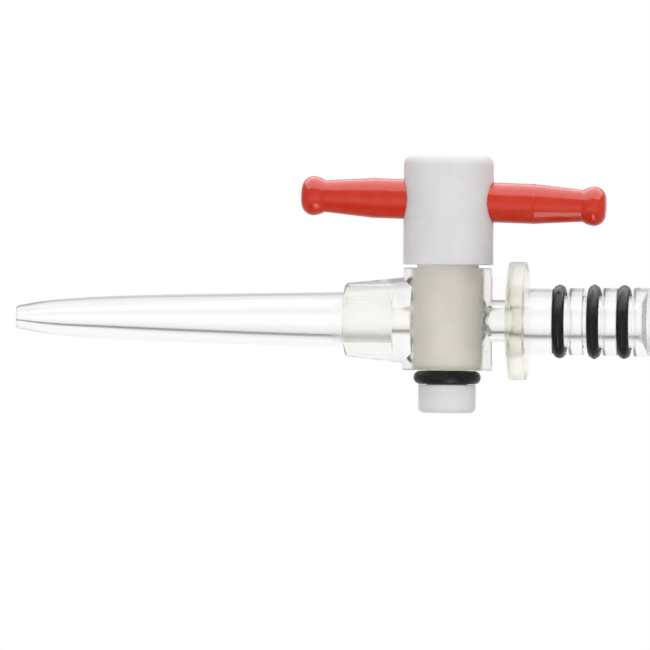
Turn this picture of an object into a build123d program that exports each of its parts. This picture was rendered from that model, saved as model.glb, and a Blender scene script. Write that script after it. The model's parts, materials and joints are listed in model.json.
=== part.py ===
from build123d import *
import math
import os

# A plug-in stopcock with its drip tip, in millimetres.
# X runs along the flow, from the drip tip (-X) to the spigot (+X). Z runs along the key,
# from its retained end (-Z) to its handle (+Z). The origin is the centre of the collar's
# seating face. The X values below are measured from the key's axis, and valve_plane puts
# them in place.

# Flow passages
BODY_BORE_R = 1.5
KEY_BORE_R = 1.25
SHANK_BORE_R = 1.6
SPIGOT_BORE_R = 2.1

# Running fit of the key in the barrel, and the gap of a bonded or pushed-in joint
KEY_CLEARANCE = 0.03
BOND_GAP = 0.02

# A cut runs this far past the face that it opens, and a joined shape starts this far inside
# the wall that it grows from
OVERRUN = 1.0

# Body: barrel
BARREL_R = 6.68
BARREL_TOP_Z = 7.87
BARREL_FOOT_Z = -7.5
FOOT_RIM_R = 6.76
FOOT_RIM_HEIGHT = 1.35
RIM_ROUND = 0.22

# Body: cup that takes the drip tip
CUP_MOUTH_X = -15.4
CUP_MOUTH_R = 5.5
CUP_END_X = -5.1
CUP_END_R = 6.6
CUP_LIP_ROUND = 0.5
CUP_FLOOR_X = -7.9
CUP_BORE_R = 3.56
SHOULDER_SEAT_X = -14.6
SHOULDER_SEAT_R = 4.22

# Body: neck and the flat web that stiffens it
NECK_R = 3.2
NECK_END_X = 9.25
NECK_FILLET = 0.6
WEB_HALF_HEIGHT = 6.62
WEB_THICKNESS = 1.2
SHANK_SEAT_X = 6.2
SHANK_R = 2.45

# Drip tip: outside and bore radii at stations along the flow axis
TIP_END_X = -65.0
TIP_END_R = 1.72
TIP_OUTSIDE = [(-61.1, 2.38), (-55.1, 2.95), (-43.1, 3.52), (-31.1, 3.82)]
TIP_ROOT_R = 4.16
TIP_ORIFICE_R = 0.4
TIP_END_ROUND = 0.25
TIP_BORE = [(-60.0, 0.88), (-52.0, 1.23), (-37.0, 1.75), (-22.0, 2.17)]
TIP_BORE_ROOT_R = 2.3
TIP_FLOOR_GAP = 0.1

# Key
KEY_TOP_R = 4.63
KEY_FOOT_R = 4.43
HEAD_R = 6.75
HEAD_FOOT_Z = 8.35
HEAD_TOP_Z = 24.7
HEAD_TOP_ROUND = 1.35
HEAD_FOOT_ROUND = 0.2
RING_GROOVE_TOP_Z = -7.5
RING_GROOVE_FOOT_Z = -9.65
RING_GROOVE_R = 3.05
KEY_END_R = 4.31
KEY_END_Z = -13.87
KEY_END_ROUND = 0.9

# O-ring on the key
KEY_RING_SECTION = 2.0
KEY_RING_Z = -8.56

# Handle bar: it leans in its hole, and sits a little off centre
BAR_Z = 17.95
BAR_LEAN = 1.7
BAR_OFFSET = 0.8
BAR_R = 3.0
BAR_HOLE_CLEARANCE = 0.05
BAR_SHOULDER = 12.15
BAR_NECK = 19.4
BAR_NECK_R = 2.4
BAR_BALL = 21.08
BAR_BALL_R = 2.97
BAR_HALF_LENGTH = 23.0
BALL_RISE = 0.75
BALL_RISE_DROP = 0.15
BALL_FALL = 0.55
BALL_FALL_DROP = 0.6
END_CROWN = 0.08
END_CROWN_R = 1.37

# Collar
COLLAR_R = 8.85
COLLAR_FACE_X = 11.85
COLLAR_NECK_ROUND = 0.45
COLLAR_FACE_ROUND = 0.12

# Spigot: lands and grooves, each from one X to the next
SPIGOT_ROOT_R = 4.93
GROOVE_R = 3.9
GROOVES = [(15.95, 18.35), (20.55, 23.45), (25.65, 28.05)]
LAND_R = [4.93, 5.04, 5.1, 5.17]
SPIGOT_END_X = 33.1
NOSE_CHAMFER = 0.5
LEAD_IN_X = 29.4
COUNTERBORE_X = 30.2
COUNTERBORE_R = 3.4

# O-rings on the spigot: slightly flattened on the groove floor
SPIGOT_RING_X = {"inner": 16.9, "middle": 22.1, "outer": 26.6}
SPIGOT_RING_HALF_WIDTH = 0.92
SPIGOT_RING_HALF_HEIGHT = 0.8

# The key's axis lies this far from the origin, and valve_plane's own origin is where it
# crosses the flow axis
KEY_X = -COLLAR_FACE_X
valve_plane = Plane(origin=(KEY_X, 0, 0), x_dir=(1, 0, 0), z_dir=(0, -1, 0))
key_axis = Axis((KEY_X, 0, 0), (0, 0, 1))

os.makedirs("parts", exist_ok=True)

# Stopcock body: one moulding, with the barrel, the cup and the neck
with BuildPart() as stopcock_body:
    with BuildSketch(valve_plane):
        with BuildLine():
            Polyline(
                (0, BARREL_FOOT_Z),
                (FOOT_RIM_R, BARREL_FOOT_Z),
                (FOOT_RIM_R, BARREL_FOOT_Z + FOOT_RIM_HEIGHT),
                (BARREL_R, BARREL_FOOT_Z + FOOT_RIM_HEIGHT),
                (BARREL_R, BARREL_TOP_Z),
                (0, BARREL_TOP_Z),
                close=True,
            )
        barrel_profile = make_face()
        outer_corners = barrel_profile.vertices().sort_by(Axis.X)[2:].sort_by(Axis.Y)
        fillet([outer_corners[0], outer_corners[-1]], RIM_ROUND)
    revolve(axis=key_axis)
    neck_start_x = BARREL_R - 2 * OVERRUN
    with BuildSketch(Plane.YZ.offset(KEY_X + neck_start_x)):
        Circle(NECK_R)
    extrude(amount=NECK_END_X - neck_start_x)
    neck_root = (
        stopcock_body.edges()
        .filter_by(GeomType.BSPLINE)
        .filter_by(lambda e: e.center().X > KEY_X + neck_start_x)
    )
    fillet(neck_root, NECK_FILLET)
    with BuildSketch(valve_plane):
        with BuildLine():
            Polyline(
                (CUP_MOUTH_X, 0),
                (CUP_MOUTH_X, CUP_MOUTH_R),
                (CUP_END_X, CUP_END_R),
                (CUP_END_X, 0),
                close=True,
            )
        cup_profile = make_face()
        fillet(cup_profile.vertices().sort_by(Axis.X)[:2].sort_by(Axis.Y)[-1], CUP_LIP_ROUND)
    revolve(axis=Axis.X)
    web_start_x = BARREL_R - OVERRUN
    with BuildSketch(valve_plane):
        with Locations(((web_start_x + NECK_END_X) / 2, 0)):
            Rectangle(NECK_END_X - web_start_x, 2 * WEB_HALF_HEIGHT)
    extrude(amount=WEB_THICKNESS / 2, both=True)
    # Tapered bore for the key
    with BuildSketch(valve_plane):
        with BuildLine():
            Polyline(
                (0, BARREL_FOOT_Z - OVERRUN),
                (KEY_FOOT_R + KEY_CLEARANCE, BARREL_FOOT_Z - OVERRUN),
                (KEY_FOOT_R + KEY_CLEARANCE, BARREL_FOOT_Z),
                (KEY_TOP_R + KEY_CLEARANCE, BARREL_TOP_Z),
                (KEY_TOP_R + KEY_CLEARANCE, HEAD_FOOT_Z),
                (0, HEAD_FOOT_Z),
                close=True,
            )
        make_face()
    revolve(axis=key_axis, mode=Mode.SUBTRACT)
    # Cup bore with the seat for the tip's shoulder, the flow passage and the shank's seat
    with BuildSketch(valve_plane):
        with BuildLine():
            Polyline(
                (CUP_MOUTH_X - OVERRUN, 0),
                (CUP_MOUTH_X - OVERRUN, SHOULDER_SEAT_R),
                (SHOULDER_SEAT_X, SHOULDER_SEAT_R),
                (SHOULDER_SEAT_X, CUP_BORE_R),
                (CUP_FLOOR_X, CUP_BORE_R),
                (CUP_FLOOR_X, BODY_BORE_R),
                (SHANK_SEAT_X, BODY_BORE_R),
                (SHANK_SEAT_X, SHANK_R + BOND_GAP),
                (NECK_END_X + OVERRUN, SHANK_R + BOND_GAP),
                (NECK_END_X + OVERRUN, 0),
                close=True,
            )
        make_face()
    revolve(axis=Axis.X, mode=Mode.SUBTRACT)

# Drip tip: a long taper with a slightly swelling outside, a shoulder and a push-in shank
with BuildPart() as drip_tip:
    shank_r = CUP_BORE_R - BOND_GAP
    shoulder_x = SHOULDER_SEAT_X - BOND_GAP
    shank_end_x = CUP_FLOOR_X - TIP_FLOOR_GAP
    with BuildSketch(valve_plane):
        with BuildLine():
            Line((TIP_END_X, TIP_ORIFICE_R), (TIP_END_X, TIP_END_R - TIP_END_ROUND))
            RadiusArc(
                (TIP_END_X, TIP_END_R - TIP_END_ROUND),
                (TIP_END_X + TIP_END_ROUND, TIP_END_R),
                TIP_END_ROUND,
            )
            Spline(
                (TIP_END_X + TIP_END_ROUND, TIP_END_R),
                *TIP_OUTSIDE,
                (CUP_MOUTH_X, TIP_ROOT_R),
            )
            Polyline(
                (CUP_MOUTH_X, TIP_ROOT_R),
                (shoulder_x, TIP_ROOT_R),
                (shoulder_x, shank_r),
                (shank_end_x, shank_r),
                (shank_end_x, TIP_BORE_ROOT_R),
                (CUP_MOUTH_X, TIP_BORE_ROOT_R),
            )
            Spline(
                (TIP_END_X, TIP_ORIFICE_R),
                *TIP_BORE,
                (CUP_MOUTH_X, TIP_BORE_ROOT_R),
            )
        make_face()
    revolve(axis=Axis.X)

# The handle bar's own axis, and the plane that holds both this axis and Z
lean = math.radians(BAR_LEAN)
bar_direction = Vector(math.cos(lean), 0, -math.sin(lean))
bar_centre = (KEY_X, 0, BAR_Z)
bar_plane = Plane(origin=bar_centre, x_dir=bar_direction, z_dir=(0, -1, 0))
bar_axis = Axis(bar_centre, bar_direction)

# Key: head, tapered plug, O-ring groove and end in one turned piece
with BuildPart() as key:
    with BuildSketch(valve_plane):
        with BuildLine():
            Polyline(
                (0, KEY_END_Z),
                (KEY_END_R, KEY_END_Z),
                (KEY_END_R, RING_GROOVE_FOOT_Z),
                (RING_GROOVE_R, RING_GROOVE_FOOT_Z),
                (RING_GROOVE_R, RING_GROOVE_TOP_Z),
                (KEY_FOOT_R, RING_GROOVE_TOP_Z),
                (KEY_TOP_R, BARREL_TOP_Z),
                (KEY_TOP_R, HEAD_FOOT_Z),
                (HEAD_R, HEAD_FOOT_Z),
                (HEAD_R, HEAD_TOP_Z),
                (0, HEAD_TOP_Z),
                close=True,
            )
        key_profile = make_face()
        fillet(key_profile.vertices().sort_by(Axis.Y)[:2].sort_by(Axis.X)[-1], KEY_END_ROUND)
        head_corners = key_profile.vertices().sort_by(Axis.X)[-2:]
        fillet(head_corners.sort_by(Axis.Y)[-1], HEAD_TOP_ROUND)
        fillet(head_corners.sort_by(Axis.Y)[0], HEAD_FOOT_ROUND)
    revolve(axis=key_axis)
    with BuildSketch(Plane.YZ.offset(KEY_X)):
        Circle(KEY_BORE_R)
    extrude(amount=KEY_TOP_R + OVERRUN, both=True, mode=Mode.SUBTRACT)
    with BuildSketch(Plane(origin=bar_centre, x_dir=(0, 1, 0), z_dir=bar_direction)):
        Circle(BAR_R + BAR_HOLE_CLEARANCE)
    extrude(amount=HEAD_R + OVERRUN, both=True, mode=Mode.SUBTRACT)

# Handle bar: both arms are alike, so one arm's outline is drawn and mirrored. Each arm is a
# straight root, a slow taper to a neck, and a ball whose end is a slightly crowned flat
with BuildPart() as handle_bar:
    neck_point = (BAR_OFFSET + BAR_NECK, BAR_NECK_R)
    ball_rise_point = (BAR_OFFSET + BAR_BALL - BALL_RISE, BAR_BALL_R - BALL_RISE_DROP)
    ball_point = (BAR_OFFSET + BAR_BALL, BAR_BALL_R)
    ball_fall_point = (BAR_OFFSET + BAR_HALF_LENGTH - BALL_FALL, BAR_BALL_R - BALL_FALL_DROP)
    crown_point = (BAR_OFFSET + BAR_HALF_LENGTH - END_CROWN, END_CROWN_R)
    with BuildSketch(bar_plane):
        with BuildLine():
            Polyline(
                (BAR_OFFSET, 0),
                (BAR_OFFSET, BAR_R),
                (BAR_OFFSET + BAR_SHOULDER, BAR_R),
                neck_point,
            )
            ThreePointArc(neck_point, ball_rise_point, ball_point)
            ThreePointArc(ball_point, ball_fall_point, crown_point)
            Polyline(crown_point, (BAR_OFFSET + BAR_HALF_LENGTH, 0), (BAR_OFFSET, 0))
        make_face()
    revolve(axis=bar_axis)
    bar_middle = bar_plane.from_local_coords((BAR_OFFSET, 0, 0))
    mirror(about=Plane(origin=bar_middle, z_dir=bar_direction))

# O-ring that holds the key in the barrel
with BuildPart() as key_o_ring:
    with BuildSketch(valve_plane):
        with Locations((RING_GROOVE_R + KEY_RING_SECTION / 2, KEY_RING_Z)):
            Circle(KEY_RING_SECTION / 2)
    revolve(axis=key_axis)

# Collar: the stop ring that seats on the end of the mating tube
with BuildPart() as collar:
    with BuildSketch(valve_plane):
        with BuildLine():
            Polyline(
                (NECK_END_X, SPIGOT_ROOT_R + BOND_GAP),
                (NECK_END_X, COLLAR_R),
                (COLLAR_FACE_X, COLLAR_R),
                (COLLAR_FACE_X, SPIGOT_ROOT_R + BOND_GAP),
                close=True,
            )
        collar_profile = make_face()
        rim_corners = collar_profile.vertices().sort_by(Axis.Y)[-2:]
        fillet(rim_corners.sort_by(Axis.X)[0], COLLAR_NECK_ROUND)
        fillet(rim_corners.sort_by(Axis.X)[-1], COLLAR_FACE_ROUND)
    revolve(axis=Axis.X)

# Spigot: a thick-walled tube with a shank, three ring grooves and a counterbored nose. Its
# bore is narrower in the shank
with BuildPart() as spigot:
    steps = [(NECK_END_X, SHANK_R), (NECK_END_X, LAND_R[0])]
    for number, (start, end) in enumerate(GROOVES):
        steps += [(start, LAND_R[number]), (start, GROOVE_R)]
        steps += [(end, GROOVE_R), (end, LAND_R[number + 1])]
    with BuildSketch(valve_plane):
        with BuildLine():
            Polyline(
                (SHANK_SEAT_X + BOND_GAP, SHANK_BORE_R),
                (SHANK_SEAT_X + BOND_GAP, SHANK_R),
                *steps,
                (SPIGOT_END_X - NOSE_CHAMFER, LAND_R[-1]),
                (SPIGOT_END_X, LAND_R[-1] - NOSE_CHAMFER),
                (SPIGOT_END_X, COUNTERBORE_R),
                (COUNTERBORE_X, COUNTERBORE_R),
                (LEAD_IN_X, SPIGOT_BORE_R),
                (COLLAR_FACE_X, SPIGOT_BORE_R),
                (NECK_END_X, SHANK_BORE_R),
                close=True,
            )
        make_face()
    revolve(axis=Axis.X)

pieces = {
    "stopcock_body": stopcock_body,
    "drip_tip": drip_tip,
    "key": key,
    "handle_bar": handle_bar,
    "key_o_ring": key_o_ring,
    "collar": collar,
    "spigot": spigot,
}

# O-rings that seal the spigot in the mating tube
for place, ring_x in SPIGOT_RING_X.items():
    with BuildPart() as spigot_o_ring:
        with BuildSketch(valve_plane):
            with Locations((ring_x, GROOVE_R + SPIGOT_RING_HALF_HEIGHT)):
                Ellipse(SPIGOT_RING_HALF_WIDTH, SPIGOT_RING_HALF_HEIGHT)
        revolve(axis=Axis.X)
    pieces[f"spigot_o_ring_{place}"] = spigot_o_ring

for name, piece in pieces.items():
    piece.part.label = name
    export_step(piece.part, f"parts/{name}.step")
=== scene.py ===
import json
import math

import bmesh
import bpy
import numpy as np
from mathutils import Matrix, Vector


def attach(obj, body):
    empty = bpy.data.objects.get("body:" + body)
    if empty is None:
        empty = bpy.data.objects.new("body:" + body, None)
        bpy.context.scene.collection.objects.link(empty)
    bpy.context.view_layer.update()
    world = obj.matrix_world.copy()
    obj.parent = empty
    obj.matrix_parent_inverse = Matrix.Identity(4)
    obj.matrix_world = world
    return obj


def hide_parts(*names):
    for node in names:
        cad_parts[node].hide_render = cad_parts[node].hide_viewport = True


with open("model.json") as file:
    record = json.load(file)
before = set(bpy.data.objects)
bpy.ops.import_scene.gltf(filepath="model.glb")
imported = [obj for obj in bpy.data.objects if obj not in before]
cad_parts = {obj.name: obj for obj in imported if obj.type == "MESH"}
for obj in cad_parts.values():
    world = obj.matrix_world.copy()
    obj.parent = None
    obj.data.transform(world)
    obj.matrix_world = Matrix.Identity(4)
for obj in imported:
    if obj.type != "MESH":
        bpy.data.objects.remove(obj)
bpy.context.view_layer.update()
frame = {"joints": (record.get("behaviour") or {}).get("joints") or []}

# Sizes are in millimetres, as in the design. X runs along the flow and Z along the key, and
# the X values are measured from the key's axis, which is the joint's.
MM = 0.001
KEY_AXIS_X = frame["joints"][0]["pos_m"][0]
TINY = 1e-6
# Faces round a piece
FINE = 256
MEDIUM = 160
PLASTIC_IOR = 1.49
# A bonded joint has no air in it, so its two surfaces hardly bend light. The key touches its
# barrel in part, so the barrel's bore bends light less than a surface in air does.
BONDED_IOR = 1.05
TOUCHING_IOR = 1.28
# Light that crosses milky plastic is scattered, so it comes out close to the way it went in
MILKY_IOR = 1.13

BODY_BORE_R = 1.5
KEY_BORE_R = 1.25
SHANK_BORE_R = 1.6
SPIGOT_BORE_R = 2.1
KEY_CLEARANCE = 0.03
BOND_GAP = 0.02
OVERRUN = 1.0

BARREL_R = 6.68
BARREL_TOP_Z = 7.87
BARREL_FOOT_Z = -7.5
FOOT_RIM_R = 6.76
FOOT_RIM_HEIGHT = 1.35
RIM_ROUND = 0.22

CUP_MOUTH_X = -15.4
CUP_MOUTH_R = 5.5
CUP_END_X = -5.1
CUP_END_R = 6.6
CUP_LIP_ROUND = 0.5
CUP_FLOOR_X = -7.9
CUP_BORE_R = 3.56
SHOULDER_SEAT_X = -14.6
SHOULDER_SEAT_R = 4.22

NECK_R = 3.2
NECK_END_X = 9.25
WEB_HALF_HEIGHT = 6.62
WEB_THICKNESS = 1.2
SHANK_SEAT_X = 6.2
SHANK_R = 2.45

TIP_END_X = -65.0
TIP_END_R = 1.72
TIP_END_ROUND = 0.25
TIP_OUTSIDE = [(-61.1, 2.38), (-55.1, 2.95), (-43.1, 3.52), (-31.1, 3.82)]
TIP_ROOT_R = 4.16
TIP_ORIFICE_R = 0.4
TIP_BORE = [(-60.0, 0.88), (-52.0, 1.23), (-37.0, 1.75), (-22.0, 2.17)]
TIP_BORE_ROOT_R = 2.3
TIP_FLOOR_GAP = 0.1

KEY_TOP_R = 4.63
KEY_FOOT_R = 4.43
HEAD_R = 6.75
HEAD_FOOT_Z = 8.35
HEAD_TOP_Z = 24.7
HEAD_TOP_ROUND = 1.35
HEAD_FOOT_ROUND = 0.2
RING_GROOVE_TOP_Z = -7.5
RING_GROOVE_FOOT_Z = -9.65
RING_GROOVE_R = 3.05
KEY_END_R = 4.31
KEY_END_Z = -13.87
KEY_END_ROUND = 0.9
KEY_END_LIP_ROUND = 0.1
KEY_RING_SECTION = 2.0
KEY_RING_Z = -8.56

BAR_Z = 17.95
BAR_LEAN = math.radians(1.7)
BAR_OFFSET = 0.8
BAR_R = 3.0
BAR_HOLE_CLEARANCE = 0.05
BAR_SHOULDER = 12.15
BAR_NECK = 19.4
BAR_NECK_R = 2.4
BAR_BALL = 21.08
BAR_BALL_R = 2.97
BAR_HALF_LENGTH = 23.0
BALL_RISE = 0.75
BALL_RISE_DROP = 0.15
BALL_FALL = 0.55
BALL_FALL_DROP = 0.6
END_CROWN = 0.08
END_CROWN_R = 1.37
MOULD_LINE_HALF_WIDTH = 0.12
MOULD_LINE_HEIGHT = 0.05

COLLAR_R = 8.85
COLLAR_FACE_X = 11.85
COLLAR_NECK_ROUND = 0.45
COLLAR_FACE_ROUND = 0.12

SPIGOT_ROOT_R = 4.93
GROOVE_R = 3.9
GROOVES = [(15.95, 18.35), (20.55, 23.45), (25.65, 28.05)]
LAND_R = [4.93, 5.04, 5.1, 5.17]
SPIGOT_END_X = 33.1
NOSE_CHAMFER = 0.5
LEAD_IN_X = 29.4
COUNTERBORE_X = 30.2
COUNTERBORE_R = 3.4
GROOVE_ROUND = 0.12
SPIGOT_RING_X = {"inner": 16.9, "middle": 22.1, "outer": 26.6}
SPIGOT_RING_HALF_WIDTH = 0.92
SPIGOT_RING_HALF_HEIGHT = 0.8
RING_STEPS = 96
FLASH_HALF_ANGLE = 0.3
FLASH = {"inner": 0.03, "middle": 0.13, "outer": 0.06}


# ---------------------------------------------------------------- outlines
# An outline is a list of strokes. A stroke is a list of (along, radius, normal along,
# normal radius). Each stroke starts where the one before it ends.


def straight(start, end, side=1.0):
    """A straight stroke. Its normal is on the left of the way it runs, or the right."""
    along, out = end[0] - start[0], end[1] - start[1]
    length = math.hypot(along, out)
    normal = (-out / length * side, along / length * side)
    return [(*start, *normal), (*end, *normal)]


def arc(centre, radius, start_deg, end_deg, steps, side=1.0):
    """A round stroke about centre. side is -1 where the normal points to the centre."""
    stroke = []
    for angle in np.radians(np.linspace(start_deg, end_deg, steps + 1)):
        c, s = math.cos(angle), math.sin(angle)
        stroke.append((centre[0] + radius * c, centre[1] + radius * s, c * side, s * side))
    return stroke


def polygon(points, rounds=None, steps=6):
    """Strokes along a run of corner points. rounds gives some corners a radius, by number."""
    rounds = rounds or {}
    ends = []
    arcs = {}
    for number, corner in enumerate(points):
        if number not in rounds:
            ends.append((corner, corner))
            continue
        before = np.subtract(points[number - 1], corner)
        after = np.subtract(points[number + 1], corner)
        before = before / np.linalg.norm(before)
        after = after / np.linalg.norm(after)
        half_turn = math.acos(np.clip(np.dot(before, after), -1, 1)) / 2
        reach = rounds[number] / math.tan(half_turn)
        first = tuple(corner + before * reach)
        last = tuple(corner + after * reach)
        middle = (before + after) / np.linalg.norm(before + after)
        centre = corner + middle * rounds[number] / math.sin(half_turn)
        a0 = math.degrees(math.atan2(first[1] - centre[1], first[0] - centre[0]))
        a1 = math.degrees(math.atan2(last[1] - centre[1], last[0] - centre[0]))
        turn = (a1 - a0 + 180) % 360 - 180
        side = 1.0 if turn < 0 else -1.0
        arcs[number] = arc(centre, rounds[number], a0, a0 + turn, steps, side)
        ends.append((first, last))
    strokes = []
    for number in range(len(points) - 1):
        if number in arcs:
            strokes.append(arcs[number])
        strokes.append(straight(ends[number][1], ends[number + 1][0]))
    return strokes


def curve(points, steps, side=1.0):
    """A smooth stroke through points, by cubic pieces whose slopes come from neighbours."""
    xs, rs = (np.array(v, float) for v in zip(*points))
    slopes = np.gradient(rs, xs)
    stroke = []
    for i in range(len(xs) - 1):
        width = xs[i + 1] - xs[i]
        for t in np.linspace(0, 1, steps + 1)[0 if i == 0 else 1:]:
            r = (2 * t**3 - 3 * t**2 + 1) * rs[i] + (3 * t**2 - 2 * t**3) * rs[i + 1]
            r += width * ((t**3 - 2 * t**2 + t) * slopes[i] + (t**3 - t**2) * slopes[i + 1])
            grade = 6 * (t**2 - t) * (rs[i] - rs[i + 1]) / width
            grade += (3 * t**2 - 4 * t + 1) * slopes[i] + (3 * t**2 - 2 * t) * slopes[i + 1]
            length = math.hypot(1, grade)
            stroke.append((xs[i] + t * width, r, -grade / length * side, side / length))
    return stroke


def split_long(strokes, longest):
    """The same strokes with their long pieces cut, so that the mesh's faces stay even."""
    cut = []
    for stroke in strokes:
        points = [stroke[0]]
        for a, b in zip(stroke, stroke[1:]):
            pieces = max(1, math.ceil(math.hypot(b[0] - a[0], b[1] - a[1]) / longest))
            for k in range(1, pieces + 1):
                points.append(tuple(np.array(a) + (np.array(b) - np.array(a)) * k / pieces))
        cut.append(points)
    return cut


# ---------------------------------------------------------------- meshes
NORMAL_NAME = "shape_normal"


class Axis:
    """Where an outline's axis lies: millimetres along and out from it become metres."""

    def __init__(self, origin, along, out):
        self.origin = np.array(origin, float)
        self.along = np.array(along, float)
        self.out = np.array(out, float)
        self.across = np.cross(self.along, self.out)

    def directions(self, angle):
        return self.out * math.cos(angle) + self.across * math.sin(angle)


KEY_ORIGIN = (KEY_AXIS_X, 0, 0)
flow_axis = Axis(KEY_ORIGIN, (1, 0, 0), (0, 0, 1))
key_axis = Axis(KEY_ORIGIN, (0, 0, 1), (1, 0, 0))
bar_axis = Axis(
    (KEY_AXIS_X, 0, BAR_Z * MM),
    (math.cos(BAR_LEAN), 0, -math.sin(BAR_LEAN)),
    (math.sin(BAR_LEAN), 0, math.cos(BAR_LEAN)),
)


def mesh_object(name, points, faces, normals):
    """A new object from points in metres, faces and one normal for each face corner."""
    mesh = bpy.data.meshes.new(name)
    mesh.from_pydata([tuple(p) for p in points], [], faces)
    mesh.validate()
    attribute = mesh.attributes.new(NORMAL_NAME, "FLOAT_VECTOR", "CORNER")
    attribute.data.foreach_set("vector", np.array(normals, np.float32).ravel())
    piece = bpy.data.objects.new(name, mesh)
    bpy.context.scene.collection.objects.link(piece)
    return piece


def turned(name, strokes, axis, segments=MEDIUM, longest=4.0, outward=True):
    """A closed solid of revolution. Its outline runs from axis to axis or is a closed loop."""
    strokes = split_long(strokes, longest)
    profile = [strokes[0][0][:2]]
    spans = []
    for stroke in strokes:
        for a, b in zip(stroke, stroke[1:]):
            spans.append((len(profile) - 1, len(profile), a[2:], b[2:]))
            profile.append(b[:2])
    closed = math.dist(profile[0], profile[-1]) < TINY
    if closed:
        profile.pop()
        spans[-1] = (spans[-1][0], 0, *spans[-1][2:])
    rings = []
    points = []
    angles = [2 * math.pi * k / segments for k in range(segments)]
    directions = [axis.directions(a) for a in angles]
    for along, radius in profile:
        base = axis.origin + axis.along * along * MM
        if radius < TINY:
            rings.append([len(points)] * segments)
            points.append(base)
            continue
        rings.append(list(range(len(points), len(points) + segments)))
        points += [base + d * radius * MM for d in directions]
    faces = []
    normals = []
    for start, end, normal_a, normal_b in spans:
        for k in range(segments):
            after = (k + 1) % segments
            corners = [
                (rings[start][k], normal_a, k),
                (rings[start][after], normal_a, after),
                (rings[end][after], normal_b, after),
                (rings[end][k], normal_b, k),
            ]
            seen = []
            for corner in corners:
                if corner[0] not in [s[0] for s in seen]:
                    seen.append(corner)
            if len(seen) < 3:
                continue
            faces.append([s[0] for s in seen])
            for _, n, at in seen:
                normals.append(axis.along * n[0] + directions[at] * n[1])
    return mesh_object(name, points, faces, normals)


def face_normals_outward(piece):
    """Turns the faces so that they point out."""
    work = bmesh.new()
    work.from_mesh(piece.data)
    bmesh.ops.recalc_face_normals(work, faces=work.faces)
    work.to_mesh(piece.data)
    work.free()


def use_shape_normals(piece):
    """Shades the mesh by the normals of the surfaces that it was made from."""
    mesh = piece.data
    count = len(mesh.loops)
    wanted = np.zeros(count * 3, np.float32)
    mesh.attributes[NORMAL_NAME].data.foreach_get("vector", wanted)
    wanted = wanted.reshape(-1, 3)
    own = np.zeros((count, 3), np.float32)
    for face in mesh.polygons:
        own[list(face.loop_indices)] = face.normal
    flip = (wanted * own).sum(1) < 0
    wanted[flip] *= -1
    lengths = np.linalg.norm(wanted, axis=1)
    lost = lengths < 0.5
    wanted[lost] = own[lost]
    lengths[lost] = 1
    wanted /= lengths[:, None]
    mesh.shade_smooth()
    mesh.normals_split_custom_set([tuple(n) for n in wanted])
    mesh.attributes.remove(mesh.attributes[NORMAL_NAME])


def combined(piece, other, operation):
    """Joins other to piece, or cuts it out of piece, and deletes other."""
    modifier = piece.modifiers.new(operation, "BOOLEAN")
    modifier.operation = operation
    modifier.solver = "EXACT"
    modifier.object = other
    depsgraph = bpy.context.evaluated_depsgraph_get()
    mesh = bpy.data.meshes.new_from_object(piece.evaluated_get(depsgraph), depsgraph=depsgraph)
    piece.modifiers.clear()
    piece.data = mesh
    bpy.data.objects.remove(other)


# ---------------------------------------------------------------- pieces
def make_body():
    barrel = turned(
        "valve_body",
        polygon(
            [
                (BARREL_FOOT_Z, 0),
                (BARREL_FOOT_Z, FOOT_RIM_R),
                (BARREL_FOOT_Z + FOOT_RIM_HEIGHT, FOOT_RIM_R),
                (BARREL_FOOT_Z + FOOT_RIM_HEIGHT, BARREL_R),
                (BARREL_TOP_Z, BARREL_R),
                (BARREL_TOP_Z, 0),
            ],
            {1: RIM_ROUND, 4: RIM_ROUND},
        ),
        key_axis,
        FINE,
    )
    cup = turned(
        "cup",
        polygon(
            [(CUP_MOUTH_X, 0), (CUP_MOUTH_X, CUP_MOUTH_R), (CUP_END_X, CUP_END_R), (CUP_END_X, 0)],
            {1: CUP_LIP_ROUND},
        ),
        flow_axis,
        FINE,
    )
    neck_start_x = BARREL_R - 2 * OVERRUN
    neck = turned(
        "neck",
        polygon([(neck_start_x, 0), (neck_start_x, NECK_R), (NECK_END_X, NECK_R), (NECK_END_X, 0)]),
        flow_axis,
        FINE,
    )
    key_bore = turned(
        "key_bore",
        polygon(
            [
                (BARREL_FOOT_Z - OVERRUN, 0),
                (BARREL_FOOT_Z - OVERRUN, KEY_FOOT_R + KEY_CLEARANCE),
                (BARREL_FOOT_Z, KEY_FOOT_R + KEY_CLEARANCE),
                (BARREL_TOP_Z, KEY_TOP_R + KEY_CLEARANCE),
                (HEAD_FOOT_Z, KEY_TOP_R + KEY_CLEARANCE),
                (HEAD_FOOT_Z, 0),
            ]
        ),
        key_axis,
        FINE,
    )
    passage = turned(
        "passage",
        polygon(
            [
                (CUP_MOUTH_X - OVERRUN, 0),
                (CUP_MOUTH_X - OVERRUN, SHOULDER_SEAT_R),
                (SHOULDER_SEAT_X, SHOULDER_SEAT_R),
                (SHOULDER_SEAT_X, CUP_BORE_R),
                (CUP_FLOOR_X, CUP_BORE_R),
                (CUP_FLOOR_X, BODY_BORE_R),
                (SHANK_SEAT_X, BODY_BORE_R),
                (SHANK_SEAT_X, SHANK_R + BOND_GAP),
                (NECK_END_X + OVERRUN, SHANK_R + BOND_GAP),
                (NECK_END_X + OVERRUN, 0),
            ]
        ),
        flow_axis,
        FINE,
    )
    for piece in (barrel, cup, neck, key_bore, passage):
        face_normals_outward(piece)
    combined(barrel, neck, "UNION")
    combined(barrel, cup, "UNION")
    combined(barrel, make_web(), "UNION")
    combined(barrel, key_bore, "DIFFERENCE")
    combined(barrel, passage, "DIFFERENCE")
    use_shape_normals(barrel)
    return barrel


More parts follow.
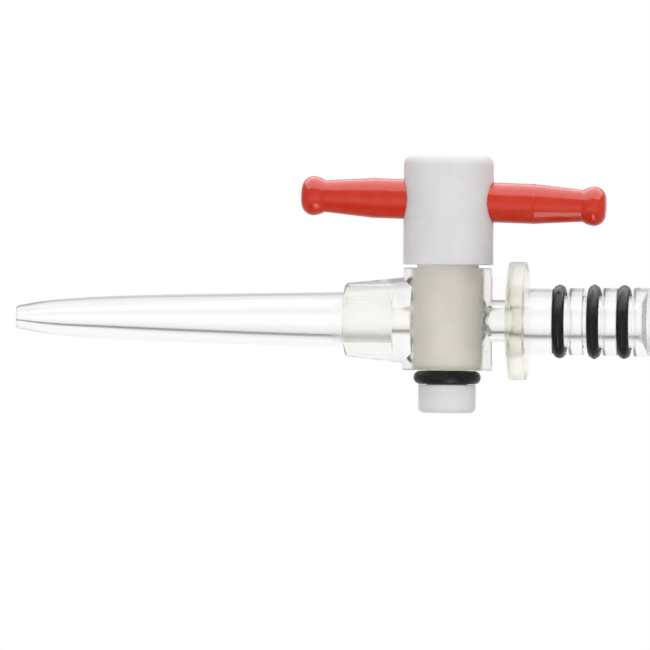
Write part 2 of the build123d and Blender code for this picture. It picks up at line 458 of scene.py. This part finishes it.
def make_web():
    """The flat web between the barrel and the collar."""
    low_x, high_x = (BARREL_R - OVERRUN) * MM, NECK_END_X * MM
    half_y, half_z = WEB_THICKNESS / 2 * MM, WEB_HALF_HEIGHT * MM
    points = []
    for x in (low_x, high_x):
        for y in (-half_y, half_y):
            for z in (-half_z, half_z):
                points.append((KEY_AXIS_X + x, y, z))
    faces = [[0, 1, 3, 2], [4, 6, 7, 5], [0, 4, 5, 1], [2, 3, 7, 6], [0, 2, 6, 4], [1, 5, 7, 3]]
    sides = [(-1, 0, 0), (1, 0, 0), (0, -1, 0), (0, 1, 0), (0, 0, -1), (0, 0, 1)]
    return mesh_object("web", points, faces, [n for n in sides for _ in range(4)])


def make_tip():
    shank_r = CUP_BORE_R - BOND_GAP
    shoulder_x = SHOULDER_SEAT_X - BOND_GAP
    shank_end_x = CUP_FLOOR_X - TIP_FLOOR_GAP
    outside = [(TIP_END_X + TIP_END_ROUND, TIP_END_R), *TIP_OUTSIDE, (CUP_MOUTH_X, TIP_ROOT_R)]
    bore = [(TIP_END_X, TIP_ORIFICE_R), *TIP_BORE, (CUP_MOUTH_X, TIP_BORE_ROOT_R)]
    corner = (TIP_END_X + TIP_END_ROUND, TIP_END_R - TIP_END_ROUND)
    strokes = [
        straight((TIP_END_X, TIP_ORIFICE_R), (TIP_END_X, TIP_END_R - TIP_END_ROUND)),
        arc(corner, TIP_END_ROUND, 180, 90, 6),
        curve(outside, 12),
        *polygon(
            [
                (CUP_MOUTH_X, TIP_ROOT_R),
                (shoulder_x, TIP_ROOT_R),
                (shoulder_x, shank_r),
                (shank_end_x, shank_r),
                (shank_end_x, TIP_BORE_ROOT_R),
                (CUP_MOUTH_X, TIP_BORE_ROOT_R),
            ]
        ),
        curve(bore, 12, -1)[::-1],
    ]
    return turned("dropper_tip", strokes, flow_axis, FINE)


def make_key():
    strokes = polygon(
        [
            (KEY_END_Z, 0),
            (KEY_END_Z, KEY_END_R),
            (RING_GROOVE_FOOT_Z, KEY_END_R),
            (RING_GROOVE_FOOT_Z, RING_GROOVE_R),
            (RING_GROOVE_TOP_Z, RING_GROOVE_R),
            (RING_GROOVE_TOP_Z, KEY_FOOT_R),
            (BARREL_TOP_Z, KEY_TOP_R),
            (HEAD_FOOT_Z, KEY_TOP_R),
            (HEAD_FOOT_Z, HEAD_R),
            (HEAD_TOP_Z, HEAD_R),
            (HEAD_TOP_Z, 0),
        ],
        {1: KEY_END_ROUND, 2: KEY_END_LIP_ROUND, 8: HEAD_FOOT_ROUND, 9: HEAD_TOP_ROUND},
        10,
    )
    plug = turned("turning_key", strokes, key_axis, FINE)
    reach = KEY_TOP_R + OVERRUN
    bore = turned(
        "bore",
        polygon([(-reach, 0), (-reach, KEY_BORE_R), (reach, KEY_BORE_R), (reach, 0)]),
        flow_axis,
    )
    reach = HEAD_R + OVERRUN
    hole_r = BAR_R + BAR_HOLE_CLEARANCE
    hole = turned(
        "hole", polygon([(-reach, 0), (-reach, hole_r), (reach, hole_r), (reach, 0)]), bar_axis
    )
    for piece in (plug, bore, hole):
        face_normals_outward(piece)
    combined(plug, bore, "DIFFERENCE")
    combined(plug, hole, "DIFFERENCE")
    use_shape_normals(plug)
    return plug


def make_bar():
    shoulder = (BAR_SHOULDER, BAR_R)
    neck = (BAR_NECK, BAR_NECK_R)
    ball = (BAR_BALL, BAR_BALL_R)
    crown = (BAR_HALF_LENGTH - END_CROWN, END_CROWN_R)
    rise = circle_through(neck, (BAR_BALL - BALL_RISE, BAR_BALL_R - BALL_RISE_DROP), ball)
    fall = circle_through(ball, (BAR_HALF_LENGTH - BALL_FALL, BAR_BALL_R - BALL_FALL_DROP), crown)
    right_arm = [
        *mould_line((0, BAR_R), shoulder, neck),
        arc_between(*rise, neck, ball, 24),
        arc_between(*fall, ball, crown, 24),
        straight(crown, (BAR_HALF_LENGTH, 0)),
    ]
    left_arm = [[(-x, r, -nx, nr) for x, r, nx, nr in s[::-1]] for s in right_arm[::-1]]
    strokes = [[(x + BAR_OFFSET, r, nx, nr) for x, r, nx, nr in s] for s in left_arm + right_arm]
    return turned("cross_handle", strokes, bar_axis, MEDIUM, 1.0)


def mould_line(before, corner, after):
    """The strokes from before to after, with a fine raised mould line round the corner."""
    x, r = corner
    left = (x - MOULD_LINE_HALF_WIDTH, r)
    top = (x, r + MOULD_LINE_HEIGHT)
    share = MOULD_LINE_HALF_WIDTH / (after[0] - x)
    right = (x + MOULD_LINE_HALF_WIDTH, r + (after[1] - r) * share)
    corners = [before, left, top, right, after]
    return [straight(start, end) for start, end in zip(corners, corners[1:])]


def circle_through(a, b, c):
    """The centre and radius of the circle through three points."""
    matrix = 2 * np.array([np.subtract(b, a), np.subtract(c, a)])
    rhs = [np.dot(b, b) - np.dot(a, a), np.dot(c, c) - np.dot(a, a)]
    centre = np.linalg.solve(matrix, rhs)
    return centre, math.dist(centre, a)


def arc_between(centre, radius, start, end, steps):
    """The short round stroke from start to end, with its normal away from the centre."""
    a0 = math.degrees(math.atan2(start[1] - centre[1], start[0] - centre[0]))
    a1 = math.degrees(math.atan2(end[1] - centre[1], end[0] - centre[0]))
    turn = (a1 - a0 + 180) % 360 - 180
    return arc(centre, radius, a0, a0 + turn, steps)


def make_ring(name, along, middle_r, half_along, half_out, axis, flash=0.0):
    """An O-ring, with the worn ridge that its mould leaves round the outside."""
    stroke = []
    for angle in np.linspace(-math.pi, math.pi, RING_STEPS + 1):
        ridge = flash * math.exp(-((angle / FLASH_HALF_ANGLE) ** 2))
        slope = -2 * angle / FLASH_HALF_ANGLE**2 * ridge
        c, s = math.cos(angle), math.sin(angle)
        grow = np.array([s, c]) * slope + np.array([half_along * c, -half_out * s])
        grow += ridge * np.array([c, -s])
        normal = np.array([-grow[1], grow[0]]) / np.linalg.norm(grow)
        stroke.append((along + (half_along + ridge) * s, middle_r + (half_out + ridge) * c, *normal))
    return turned(name, [stroke], axis, FINE)


def make_collar():
    bore_r = SPIGOT_ROOT_R + BOND_GAP
    loop = [
        (NECK_END_X, bore_r),
        (NECK_END_X, COLLAR_R),
        (COLLAR_FACE_X, COLLAR_R),
        (COLLAR_FACE_X, bore_r),
        (NECK_END_X, bore_r),
    ]
    return turned(
        "stop_collar", polygon(loop, {1: COLLAR_NECK_ROUND, 2: COLLAR_FACE_ROUND}), flow_axis, FINE
    )


def make_spigot():
    shank_x = SHANK_SEAT_X + BOND_GAP
    points = [(shank_x, SHANK_BORE_R), (shank_x, SHANK_R)]
    points += [(NECK_END_X, SHANK_R), (NECK_END_X, LAND_R[0])]
    rounds = {}
    for number, (start, end) in enumerate(GROOVES):
        before, after = LAND_R[number : number + 2]
        for corner in ((start, before), (start, GROOVE_R), (end, GROOVE_R), (end, after)):
            rounds[len(points)] = GROOVE_ROUND
            points.append(corner)
    points += [
        (SPIGOT_END_X - NOSE_CHAMFER, LAND_R[-1]),
        (SPIGOT_END_X, LAND_R[-1] - NOSE_CHAMFER),
        (SPIGOT_END_X, COUNTERBORE_R),
        (COUNTERBORE_X, COUNTERBORE_R),
        (LEAD_IN_X, SPIGOT_BORE_R),
        (COLLAR_FACE_X, SPIGOT_BORE_R),
        (NECK_END_X, SHANK_BORE_R),
        (shank_x, SHANK_BORE_R),
    ]
    return turned("plug_spigot", polygon(points, rounds), flow_axis, FINE)


# ---------------------------------------------------------------- materials
NOISE_LOW, NOISE_HIGH = 0.3, 0.7


def new_material(name):
    material = bpy.data.materials.new(name)
    material.use_nodes = True
    tree = material.node_tree
    return material, tree, tree.nodes["Principled BSDF"]


def noise(tree, scale, detail, stretch=(1, 1, 1)):
    """A noise value in the object's own coordinates. scale is in waves per metre."""
    where = tree.nodes.new("ShaderNodeTexCoord")
    spread = tree.nodes.new("ShaderNodeMapping")
    spread.inputs["Scale"].default_value = stretch
    pattern = tree.nodes.new("ShaderNodeTexNoise")
    pattern.inputs["Scale"].default_value = scale
    pattern.inputs["Detail"].default_value = detail
    tree.links.new(where.outputs["Object"], spread.inputs["Vector"])
    tree.links.new(spread.outputs["Vector"], pattern.inputs["Vector"])
    return pattern.outputs["Fac"]


def ranged(tree, value, low, high):
    """Noise, most of which lies from NOISE_LOW to NOISE_HIGH, put between low and high."""
    return map_range(tree, value, NOISE_LOW, NOISE_HIGH, low, high)


def two_tones(tree, value, first, second):
    return mixed_colour(tree, ranged(tree, value, 0, 1), (*first, 1), (*second, 1))


def bumped(tree, shader, value, depth_mm):
    bump = tree.nodes.new("ShaderNodeBump")
    bump.inputs["Distance"].default_value = depth_mm * MM
    bump.inputs["Strength"].default_value = 1.0
    tree.links.new(value, bump.inputs["Height"])
    tree.links.new(bump.outputs["Normal"], shader.inputs["Normal"])


def map_range(tree, value, from_min, from_max, to_min, to_max, kind="LINEAR"):
    spread = tree.nodes.new("ShaderNodeMapRange")
    spread.interpolation_type = kind
    spread.inputs["From Min"].default_value = from_min
    spread.inputs["From Max"].default_value = from_max
    spread.inputs["To Min"].default_value = to_min
    spread.inputs["To Max"].default_value = to_max
    tree.links.new(value, spread.inputs["Value"])
    return spread.outputs["Result"]


def maths(tree, operation, *values):
    node = tree.nodes.new("ShaderNodeMath")
    node.operation = operation
    for socket, value in zip(node.inputs, values):
        if isinstance(value, (int, float)):
            socket.default_value = value
        else:
            tree.links.new(value, socket)
    return node.outputs[0]


def place_from_key(tree):
    """The place in the object's own coordinates, in mm from where the key crosses the flow."""
    where = tree.nodes.new("ShaderNodeTexCoord")
    shift = tree.nodes.new("ShaderNodeMapping")
    shift.inputs["Location"].default_value = (-KEY_AXIS_X / MM, 0, 0)
    shift.inputs["Scale"].default_value = (1 / MM,) * 3
    parts = tree.nodes.new("ShaderNodeSeparateXYZ")
    tree.links.new(where.outputs["Object"], shift.inputs["Vector"])
    tree.links.new(shift.outputs["Vector"], parts.inputs[0])
    return parts.outputs


def radius_from(tree, a, b):
    b_squared = maths(tree, "MULTIPLY", b, b)
    return maths(tree, "SQRT", maths(tree, "MULTIPLY_ADD", a, a, b_squared))


def mixed_colour(tree, share, a, b):
    """Colour a where share is 0, colour b where it is 1."""
    node = tree.nodes.new("ShaderNodeMix")
    node.data_type = "RGBA"
    tree.links.new(share, node.inputs["Factor"])
    for socket, value in ((node.inputs[6], a), (node.inputs[7], b)):
        if isinstance(value, tuple):
            socket.default_value = value
        else:
            tree.links.new(value, socket)
    return node.outputs[2]


def inside_zone(tree, x, radius, zone):
    """1 where X and the radius from the flow axis both lie in zone, otherwise 0."""
    from_x, to_x, from_r, to_r = zone
    inside = maths(tree, "GREATER_THAN", x, from_x)
    inside = maths(tree, "MULTIPLY", inside, maths(tree, "LESS_THAN", x, to_x))
    inside = maths(tree, "MULTIPLY", inside, maths(tree, "GREATER_THAN", radius, from_r))
    return maths(tree, "MULTIPLY", inside, maths(tree, "LESS_THAN", radius, to_r))


def clear_material(
    name, tones, polish, bore_limit, bore_rough, bonded, ripple_mm=0.0, barrel=None
):
    """Clear plastic: polished outside, duller in its bores, with a faint ripple and tint.

    bore_limit is a radius that only the flow bore's surfaces stay under, and bore_rough is how
    dull they are. Each goes from one X to another, and from one value to another. bonded lists
    the zones that are stuck to another piece. barrel is the dullness of the barrel's bore and two
    colours for it: one that is partly the plastic's own yellow and partly painted shade on the key
    seen through it, and a darker painted shade towards the barrel's foot.
    """
    material, tree, shader = new_material(name)
    slow = noise(tree, 260, 2)
    tint_and_shade = two_tones(tree, slow, *tones)
    x, y, z = place_from_key(tree)
    radius = radius_from(tree, y, z)
    in_bore = maths(tree, "LESS_THAN", radius, map_range(tree, x, *bore_limit))
    dull = maths(tree, "MULTIPLY", in_bore, map_range(tree, x, *bore_rough))
    ior = PLASTIC_IOR
    for zone in bonded:
        ior = mixed(tree, inside_zone(tree, x, radius, zone), ior, BONDED_IOR)
    if barrel:
        barrel_rough, barrel_tint_and_shade, foot_painted_shade = barrel
        barrel_bore_r = KEY_TOP_R + 2 * KEY_CLEARANCE
        in_barrel = maths(tree, "LESS_THAN", radius_from(tree, x, y), barrel_bore_r)
        dull = maths(tree, "MAXIMUM", dull, maths(tree, "MULTIPLY", in_barrel, barrel_rough))
        ior = mixed(tree, in_barrel, ior, TOUCHING_IOR)
        # Painted shade: the bore's colour turns darker towards the barrel's foot
        rim_z = BARREL_FOOT_Z + FOOT_RIM_HEIGHT
        foot_shade_share = map_range(tree, z, rim_z, BARREL_FOOT_Z, 0, 1, "SMOOTHSTEP")
        bore_tint_and_shade = mixed_colour(tree, foot_shade_share, (*barrel_tint_and_shade, 1), (*foot_painted_shade, 1))
        # In the barrel's bore the colour is partly the plastic's own yellow and partly painted shade
        # that darkens the key seen through it
        tint_and_shade = mixed_colour(tree, in_barrel, tint_and_shade, bore_tint_and_shade)
    tree.links.new(tint_and_shade, shader.inputs["Base Color"])
    surface = ranged(tree, slow, *polish)
    tree.links.new(maths(tree, "ADD", dull, surface), shader.inputs["Roughness"])
    shader.inputs["Transmission Weight"].default_value = 1.0
    shader.inputs["IOR"].default_value = PLASTIC_IOR
    tree.links.new(ior, shader.inputs["IOR"])
    if ripple_mm:
        bumped(tree, shader, noise(tree, 320, 1), ripple_mm)
    return material


def milky_material():
    material, tree, shader = new_material("milky_plastic")
    cloud = noise(tree, 350, 4)
    tree.links.new(
        two_tones(tree, cloud, (0.98, 0.97, 0.885), (0.995, 0.985, 0.915)),
        shader.inputs["Base Color"],
    )
    tree.links.new(ranged(tree, cloud, 0.34, 0.42), shader.inputs["Roughness"])
    shader.inputs["Transmission Weight"].default_value = 0.97
    shader.inputs["IOR"].default_value = MILKY_IOR
    return material


def ptfe_material():
    material, tree, shader = new_material("white_ptfe")
    cloud = noise(tree, 300, 4)
    tree.links.new(
        two_tones(tree, cloud, (0.86, 0.85, 0.85), (0.91, 0.90, 0.90)), shader.inputs["Base Color"]
    )
    tree.links.new(ranged(tree, cloud, 0.42, 0.55), shader.inputs["Roughness"])
    shader.inputs["Specular IOR Level"].default_value = 0.3
    shader.inputs["Subsurface Weight"].default_value = 0.5
    shader.inputs["Subsurface Radius"].default_value = (1.0, 0.95, 0.9)
    shader.inputs["Subsurface Scale"].default_value = 1.5 * MM
    turning = noise(tree, 900, 2, (0.05, 0.05, 8))
    bumped(tree, shader, turning, 0.012)
    return material


def red_material():
    material, tree, shader = new_material("red_plastic")
    cloud = noise(tree, 500, 4)
    tree.links.new(
        two_tones(tree, cloud, (0.70, 0.03, 0.008), (0.75, 0.04, 0.012)),
        shader.inputs["Base Color"],
    )
    tree.links.new(ranged(tree, cloud, 0.13, 0.19), shader.inputs["Roughness"])
    shader.inputs["Specular IOR Level"].default_value = 0.35
    shader.inputs["Subsurface Weight"].default_value = 0.1
    shader.inputs["Subsurface Radius"].default_value = (1.0, 0.25, 0.15)
    shader.inputs["Subsurface Scale"].default_value = 1.0 * MM
    bumped(tree, shader, noise(tree, 500, 2), 0.006)
    return material


def rubber_material():
    material, tree, shader = new_material("black_rubber")
    cloud = noise(tree, 1100, 4)
    tree.links.new(
        two_tones(tree, cloud, (0.005, 0.0048, 0.0055), (0.01, 0.0095, 0.0115)),
        shader.inputs["Base Color"],
    )
    tree.links.new(ranged(tree, cloud, 0.24, 0.5), shader.inputs["Roughness"])
    shader.inputs["Specular IOR Level"].default_value = 0.23
    bumped(tree, shader, noise(tree, 1300, 4), 0.03)
    return material


def floor_material():
    """Pale and matt, and fading out before its rim."""
    material, tree, shader = new_material("floor")
    tree.links.new(
        two_tones(tree, noise(tree, 3, 3), (0.80, 0.80, 0.80), (0.84, 0.84, 0.84)),
        shader.inputs["Base Color"],
    )
    shader.inputs["Roughness"].default_value = 0.9
    shader.inputs["Specular IOR Level"].default_value = 0.1
    where = tree.nodes.new("ShaderNodeTexCoord")
    reach = tree.nodes.new("ShaderNodeVectorMath")
    reach.operation = "LENGTH"
    tree.links.new(where.outputs["Object"], reach.inputs[0])
    fade_from, fade_to = 0.3 * FLOOR_RADIUS, 0.95 * FLOOR_RADIUS
    fade = map_range(tree, reach.outputs["Value"], fade_from, fade_to, 1, 0, "SMOOTHSTEP")
    tree.links.new(fade, shader.inputs["Alpha"])
    return material


# ---------------------------------------------------------------- camera, floor and light
CAMERA_AZIMUTH = math.radians(5.25)
CAMERA_ROLL = math.radians(0.5)
CAMERA_DISTANCE = 3.0
VIEW_WIDTH = 97.5
VIEW_CENTRE_ACROSS = -18.39
VIEW_CENTRE_UP = -0.68

# In metres
FLOOR_RADIUS = 4.0
FLOOR_Z = -0.13
FLOOR_SIDES = 96


def make_camera():
    camera_data = bpy.data.cameras.new("camera")
    camera_data.sensor_width = 36
    camera_data.lens = camera_data.sensor_width * CAMERA_DISTANCE / (VIEW_WIDTH * MM)
    camera_data.clip_end = 50
    camera = bpy.data.objects.new("camera", camera_data)
    bpy.context.scene.collection.objects.link(camera)
    back = Vector((math.sin(CAMERA_AZIMUTH), -math.cos(CAMERA_AZIMUTH), 0))
    right = Vector((math.cos(CAMERA_AZIMUTH), math.sin(CAMERA_AZIMUTH), 0))
    up = Vector((0, 0, 1))
    spin = Matrix.Rotation(CAMERA_ROLL, 3, back)
    right, up = spin @ right, spin @ up
    target = Vector((KEY_AXIS_X, 0, 0))
    target += right * VIEW_CENTRE_ACROSS * MM + up * VIEW_CENTRE_UP * MM
    turn = Matrix((right, up, back)).transposed()
    camera.matrix_world = Matrix.Translation(target + back * CAMERA_DISTANCE) @ turn.to_4x4()
    bpy.context.scene.camera = camera


def make_floor():
    mesh = bpy.data.meshes.new("floor")
    turns = [2 * math.pi * k / FLOOR_SIDES for k in range(FLOOR_SIDES)]
    rim = [(FLOOR_RADIUS * math.cos(a), FLOOR_RADIUS * math.sin(a), 0) for a in turns]
    mesh.from_pydata(rim, [], [list(range(FLOOR_SIDES))])
    floor = bpy.data.objects.new("floor", mesh)
    floor.location.z = FLOOR_Z
    mesh.materials.append(floor_material())
    bpy.context.scene.collection.objects.link(floor)
    floor.visible_transmission = False
    floor.visible_glossy = False


def brightness_ramp(tree, value, stops):
    """A smooth brightness along value, from stops of (value, brightness)."""
    low, high = stops[0][0], stops[-1][0]
    brightest = max(level for _, level in stops)
    ramp = tree.nodes.new("ShaderNodeValToRGB")
    ramp.color_ramp.interpolation = "EASE"
    elements = ramp.color_ramp.elements
    while len(elements) < len(stops):
        elements.new(1.0)
    for element, (at, level) in zip(elements, stops):
        element.position = (at - low) / (high - low)
        element.color = (level / brightest,) * 3 + (1,)
    tree.links.new(map_range(tree, value, low, high, 0, 1), ramp.inputs["Fac"])
    return maths(tree, "MULTIPLY", ramp.outputs["Color"], brightest)


def mixed(tree, share, a, b):
    """a where share is 0, b where it is 1."""
    node = tree.nodes.new("ShaderNodeMix")
    for socket, value in zip(node.inputs[:1] + node.inputs[2:4], (share, a, b)):
        if isinstance(value, (int, float)):
            socket.default_value = value
        else:
            tree.links.new(value, socket)
    return node.outputs[0]


# Brightness round the flow axis: 0 degrees is behind the object, 90 above it and 180 in front
ROUND_THE_FLOW = [
    (-180, 1.2), (-160, 1.6), (-148, 1.2), (-136, 0.45), (-127, 0.15), (-88, 0.15), (-78, 0.27),
    (-56, 0.4), (-46, 0.78), (-30, 0.9), (0, 1.0), (60, 1.03), (78, 1.1), (90, 1.3), (102, 1.05),
    (115, 0.75), (130, 0.63), (155, 0.66), (180, 0.8),
]
# Towards the ends of the flow axis the studio changes to an even brightness
SIDE_BRIGHTNESS = 0.65
SIDE_FROM, SIDE_TO = 0.55, 0.72

# Light that falls on matt pieces: mostly from front and back, turned a little to the right, and
# more from above than from below
FILL_FACING = 1.34
FILL_ABOVE = 0.66
FILL_TURN = 0.22


def make_world():
    """A white studio, as bright behind clear pieces as in front of solid ones."""
    world = bpy.data.worlds.new("studio")
    world.use_nodes = True
    bpy.context.scene.world = world
    tree = world.node_tree
    where = tree.nodes.new("ShaderNodeTexCoord")
    parts = tree.nodes.new("ShaderNodeSeparateXYZ")
    tree.links.new(where.outputs["Generated"], parts.inputs[0])
    x, y, z = parts.outputs
    turn = maths(tree, "DEGREES", maths(tree, "ARCTAN2", z, y))
    around = brightness_ramp(tree, turn, ROUND_THE_FLOW)
    aside = maths(tree, "ABSOLUTE", x)
    endwise = map_range(tree, aside, SIDE_FROM, SIDE_TO, 0, 1, "SMOOTHSTEP")
    studio = mixed(tree, endwise, around, SIDE_BRIGHTNESS)
    ahead = maths(tree, "MULTIPLY_ADD", x, -FILL_TURN, y)
    facing = maths(tree, "MULTIPLY", maths(tree, "MULTIPLY", ahead, ahead), FILL_FACING)
    fill = maths(tree, "MULTIPLY_ADD", z, FILL_ABOVE, facing)
    path = tree.nodes.new("ShaderNodeLightPath")
    scattered = maths(tree, "GREATER_THAN", path.outputs["Diffuse Depth"], 0.5)
    lit = mixed(tree, scattered, studio, fill)
    seen = mixed(tree, path.outputs["Is Camera Ray"], lit, 1.0)
    tree.links.new(seen, tree.nodes["Background"].inputs["Color"])


def make_light(name, place_mm, aim_mm, size, brightness, lit_pieces):
    """A soft light that only the gloss of lit_pieces mirrors. Places are from the key's axis."""
    light = bpy.data.lights.new(name, "AREA")
    light.shape = "RECTANGLE"
    light.size, light.size_y = size
    light.energy = brightness * math.pi * size[0] * size[1]
    lamp = bpy.data.objects.new(name, light)
    lamp.location = Vector(KEY_ORIGIN) + Vector(place_mm) * MM
    backwards = Vector(place_mm) - Vector(aim_mm)
    lamp.rotation_euler = backwards.to_track_quat("Z", "Y").to_euler()
    lamp.visible_camera = False
    lamp.visible_diffuse = False
    lamp.visible_transmission = False
    bpy.context.scene.collection.objects.link(lamp)
    receivers = bpy.data.collections.new(name)
    for piece in lit_pieces:
        receivers.objects.link(piece)
    lamp.light_linking.receiver_collection = receivers


# ---------------------------------------------------------------- assembly
def place(piece, body, node, material):
    """Gives a finished piece its material in one slot and its body, and hides the CAD node that it
    replaces.
    """
    if NORMAL_NAME in piece.data.attributes:
        face_normals_outward(piece)
        use_shape_normals(piece)
    piece.data.materials.clear()
    piece.data.materials.append(material)
    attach(piece, body)
    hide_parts(node)


make_camera()
make_floor()
make_world()
bpy.context.scene.view_settings.view_transform = "Standard"

# The zones of bonded surfaces reach this far to each side of them
NEAR = 0.05
SHANK_ZONE = (SHANK_R - 2 * NEAR, SHANK_R + 2 * NEAR)
GLASS_TONES = ((0.985, 0.99, 0.99), (0.995, 0.998, 0.998))
# Radii between the drip tip's bore and its outside, at its end and near its root
TIP_ROOT_X = -18
TIP_LIMIT_R = 1.06
ROOT_LIMIT_R = 3.0
# The spigot's bore grows dull over this length before its lead-in cone
LEAD_IN_BLEND = 0.6
BARREL_ROUGH = 0.22
# The barrel bore's colour: partly the plastic's own yellow and partly painted shade on the key seen
# through it
BARREL_TINT_AND_SHADE = (0.85, 0.79, 0.63)
# Painted shade that darkens the bore's colour towards the barrel's foot
BARREL_FOOT_PAINTED_SHADE = (0.47, 0.455, 0.3)

body_clear = clear_material(
    "clear_body_plastic",
    tones=((0.988, 0.984, 0.955), (0.996, 0.993, 0.972)),
    polish=(0.0, 0.04),
    bore_limit=(CUP_FLOOR_X - NEAR, CUP_FLOOR_X + NEAR, CUP_BORE_R + NEAR, BODY_BORE_R + NEAR),
    bore_rough=(CUP_FLOOR_X - NEAR, CUP_FLOOR_X + NEAR, 0.0, 0.25),
    bonded=[
        (CUP_MOUTH_X, CUP_FLOOR_X - NEAR, CUP_BORE_R - 2 * NEAR, SHOULDER_SEAT_R + 2 * NEAR),
        (SHANK_SEAT_X + NEAR, NECK_END_X - NEAR, *SHANK_ZONE),
    ],
    ripple_mm=0.004,
    barrel=(BARREL_ROUGH, BARREL_TINT_AND_SHADE, BARREL_FOOT_PAINTED_SHADE),
)
tip_shank_end_x = CUP_FLOOR_X - TIP_FLOOR_GAP
tip_clear = clear_material(
    "clear_tip",
    tones=GLASS_TONES,
    polish=(0.0, 0.02),
    bore_limit=(TIP_END_X, TIP_ROOT_X, TIP_LIMIT_R, ROOT_LIMIT_R),
    bore_rough=(TIP_ROOT_X, CUP_MOUTH_X, 0.1, 0.5),
    bonded=[
        (CUP_MOUTH_X + NEAR, tip_shank_end_x - NEAR, CUP_BORE_R - 2 * NEAR, TIP_ROOT_R + 2 * NEAR)
    ],
)
spigot_clear = clear_material(
    "clear_spigot",
    tones=GLASS_TONES,
    polish=(0.0, 0.03),
    bore_limit=(NECK_END_X, NECK_END_X + NEAR, SHANK_R + NEAR, GROOVE_R + NEAR),
    bore_rough=(LEAD_IN_X - LEAD_IN_BLEND, LEAD_IN_X, 0.2, 0.6),
    bonded=[(SHANK_SEAT_X, NECK_END_X - NEAR, *SHANK_ZONE)],
)
rubber = rubber_material()
valve_body, dropper_tip, plug_spigot = make_body(), make_tip(), make_spigot()
for piece in (valve_body, dropper_tip, plug_spigot):
    piece.visible_diffuse = False
    piece.visible_shadow = False
place(valve_body, "valve", "stopcock_body", body_clear)
place(dropper_tip, "valve", "drip_tip", tip_clear)
place(make_collar(), "valve", "collar", milky_material())
place(plug_spigot, "valve", "spigot", spigot_clear)
glossy_pieces = []
for where, ring_x in SPIGOT_RING_X.items():
    ring = make_ring(
        f"seal_ring_{where}", ring_x, GROOVE_R + SPIGOT_RING_HALF_HEIGHT,
        SPIGOT_RING_HALF_WIDTH, SPIGOT_RING_HALF_HEIGHT, flow_axis, FLASH[where],
    )
    ring.visible_transmission = False
    place(ring, "valve", f"spigot_o_ring_{where}", rubber)
    glossy_pieces.append(ring)
turning_key = make_key()
place(turning_key, "key", "key", ptfe_material())
handle = make_bar()
handle.visible_transmission = False
place(handle, "key", "handle_bar", red_material())
half_section = KEY_RING_SECTION / 2
key_ring = make_ring(
    "retaining_ring", KEY_RING_Z, RING_GROOVE_R + half_section, half_section, half_section, key_axis
)
place(key_ring, "key", "key_o_ring", rubber)
glossy_pieces += [turning_key, handle, key_ring]
make_light("softbox", (0, 65, 500), (0, 65, 0), (1.4, 1.07), 3.4, glossy_pieces)
make_light("reflector", (28, -55, -115), (28, -20, 0), (0.05, 0.1), 4.0, glossy_pieces)
